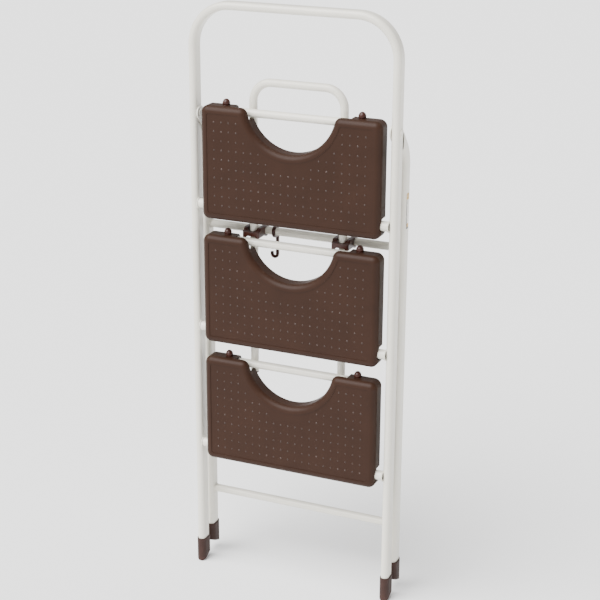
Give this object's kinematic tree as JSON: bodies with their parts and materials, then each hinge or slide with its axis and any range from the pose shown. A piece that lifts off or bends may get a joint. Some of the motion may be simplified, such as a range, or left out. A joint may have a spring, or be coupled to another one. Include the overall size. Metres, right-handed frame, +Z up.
{
  "type": "step stool",
  "caption": "Folding step stool stored flat: inverted-U front frame with a high hand rail, deep moulded steps with a half-round cut-out, an inner link frame and a hinged rear frame.",
  "frame": {"origin": "floor point under the middle of the folded stool's bounding box", "axes": "+X to the climber's right, -Y towards the climber, +Z up along the folded frames"},
  "size_m": [0.4346, 0.088, 1.187],
  "materials": {
    "frame_paint": "warm white powder coat on steel tube",
    "rivet_steel": "zinc-plated rivet",
    "step_plastic": "brown moulded polypropylene with raised dots",
    "buffer_rubber": "dark red-brown soft plastic",
    "clip_plastic": "dark red-brown nylon",
    "foot_rubber": "brown grooved rubber",
    "label_film": "blank yellow and dark film, no text"
  },
  "bodies": {
    "front_frame": {"front_tube": "frame_paint", "rung_bottom": "frame_paint", "rung_middle": "frame_paint", "rung_top": "frame_paint", "pivot_rivet_left": "rivet_steel", "pivot_rivet_right": "rivet_steel", "front_foot_left": "foot_rubber", "front_foot_right": "foot_rubber"},
    "step_top_body": {"step_top": "step_plastic", "buffers_top": "buffer_rubber"},
    "step_middle_body": {"step_middle": "step_plastic", "buffers_middle": "buffer_rubber"},
    "step_bottom_body": {"step_bottom": "step_plastic", "buffers_bottom": "buffer_rubber"},
    "link_frame": {"link_loop": "frame_paint", "link_bar_top": "frame_paint", "link_bar_middle": "frame_paint", "link_bar_bottom": "frame_paint", "link_plugs": "buffer_rubber"},
    "rear_frame": {"rear_leg_left": "frame_paint", "rear_leg_right": "frame_paint", "hinge_plate_left": "frame_paint", "hinge_plate_right": "frame_paint", "rear_foot_left": "foot_rubber", "rear_foot_right": "foot_rubber", "cross_bar_upper": "frame_paint", "cross_bar_lower": "frame_paint", "blank_label": "label_film"},
    "clip_left": {"guide_clip_left": "clip_plastic"},
    "clip_right": {"guide_clip_right": "clip_plastic"},
    "hook": {"fold_hook": "clip_plastic"}
  },
  "joints": [
    {"name": "main_fold", "type": "hinge", "parent": "front_frame", "child": "rear_frame", "pos_m": [0, -0.017, 0.97], "axis": [1, 0, 0], "range_deg": [0, 48]},
    {"name": "step_top_fold", "type": "hinge", "parent": "front_frame", "child": "step_top_body", "pos_m": [0, -0.025, 0.791], "axis": [-1, 0, 0], "range_deg": [0, 64.01]},
    {"name": "step_middle_fold", "type": "hinge", "parent": "front_frame", "child": "step_middle_body", "pos_m": [0, -0.025, 0.534], "axis": [-1, 0, 0], "range_deg": [0, 64.01]},
    {"name": "step_bottom_fold", "type": "hinge", "parent": "front_frame", "child": "step_bottom_body", "pos_m": [0, -0.025, 0.277], "axis": [-1, 0, 0], "range_deg": [0, 64.01]},
    {"name": "link_fold", "type": "hinge", "parent": "step_top_body", "child": "link_frame", "pos_m": [0, -0.011, 0.977], "axis": [1, 0, 0], "range_deg": [0, 64.01]},
    {"name": "clip_left_turn", "type": "hinge", "parent": "rear_frame", "child": "clip_left", "pos_m": [-0.094, 0.027, 0.7355], "axis": [-1, 0, 0], "range_deg": [0, 48]},
    {"name": "clip_right_turn", "type": "hinge", "parent": "rear_frame", "child": "clip_right", "pos_m": [0.094, 0.027, 0.7355], "axis": [-1, 0, 0], "range_deg": [0, 48]},
    {"name": "hook_turn", "type": "hinge", "parent": "rear_frame", "child": "hook", "pos_m": [-0.058, 0.027, 0.7355], "axis": [1, 0, 0], "range_deg": [0, 64.01]}
  ],
  "couplings": [
    {"joint": "step_top_fold", "follows": "main_fold", "ratio": 1.3333},
    {"joint": "step_middle_fold", "follows": "main_fold", "ratio": 1.3333},
    {"joint": "step_bottom_fold", "follows": "main_fold", "ratio": 1.3333},
    {"joint": "link_fold", "follows": "main_fold", "ratio": 1.3333},
    {"joint": "clip_left_turn", "follows": "main_fold", "ratio": 1},
    {"joint": "clip_right_turn", "follows": "main_fold", "ratio": 1},
    {"joint": "hook_turn", "follows": "main_fold", "ratio": 1.3333}
  ]
}
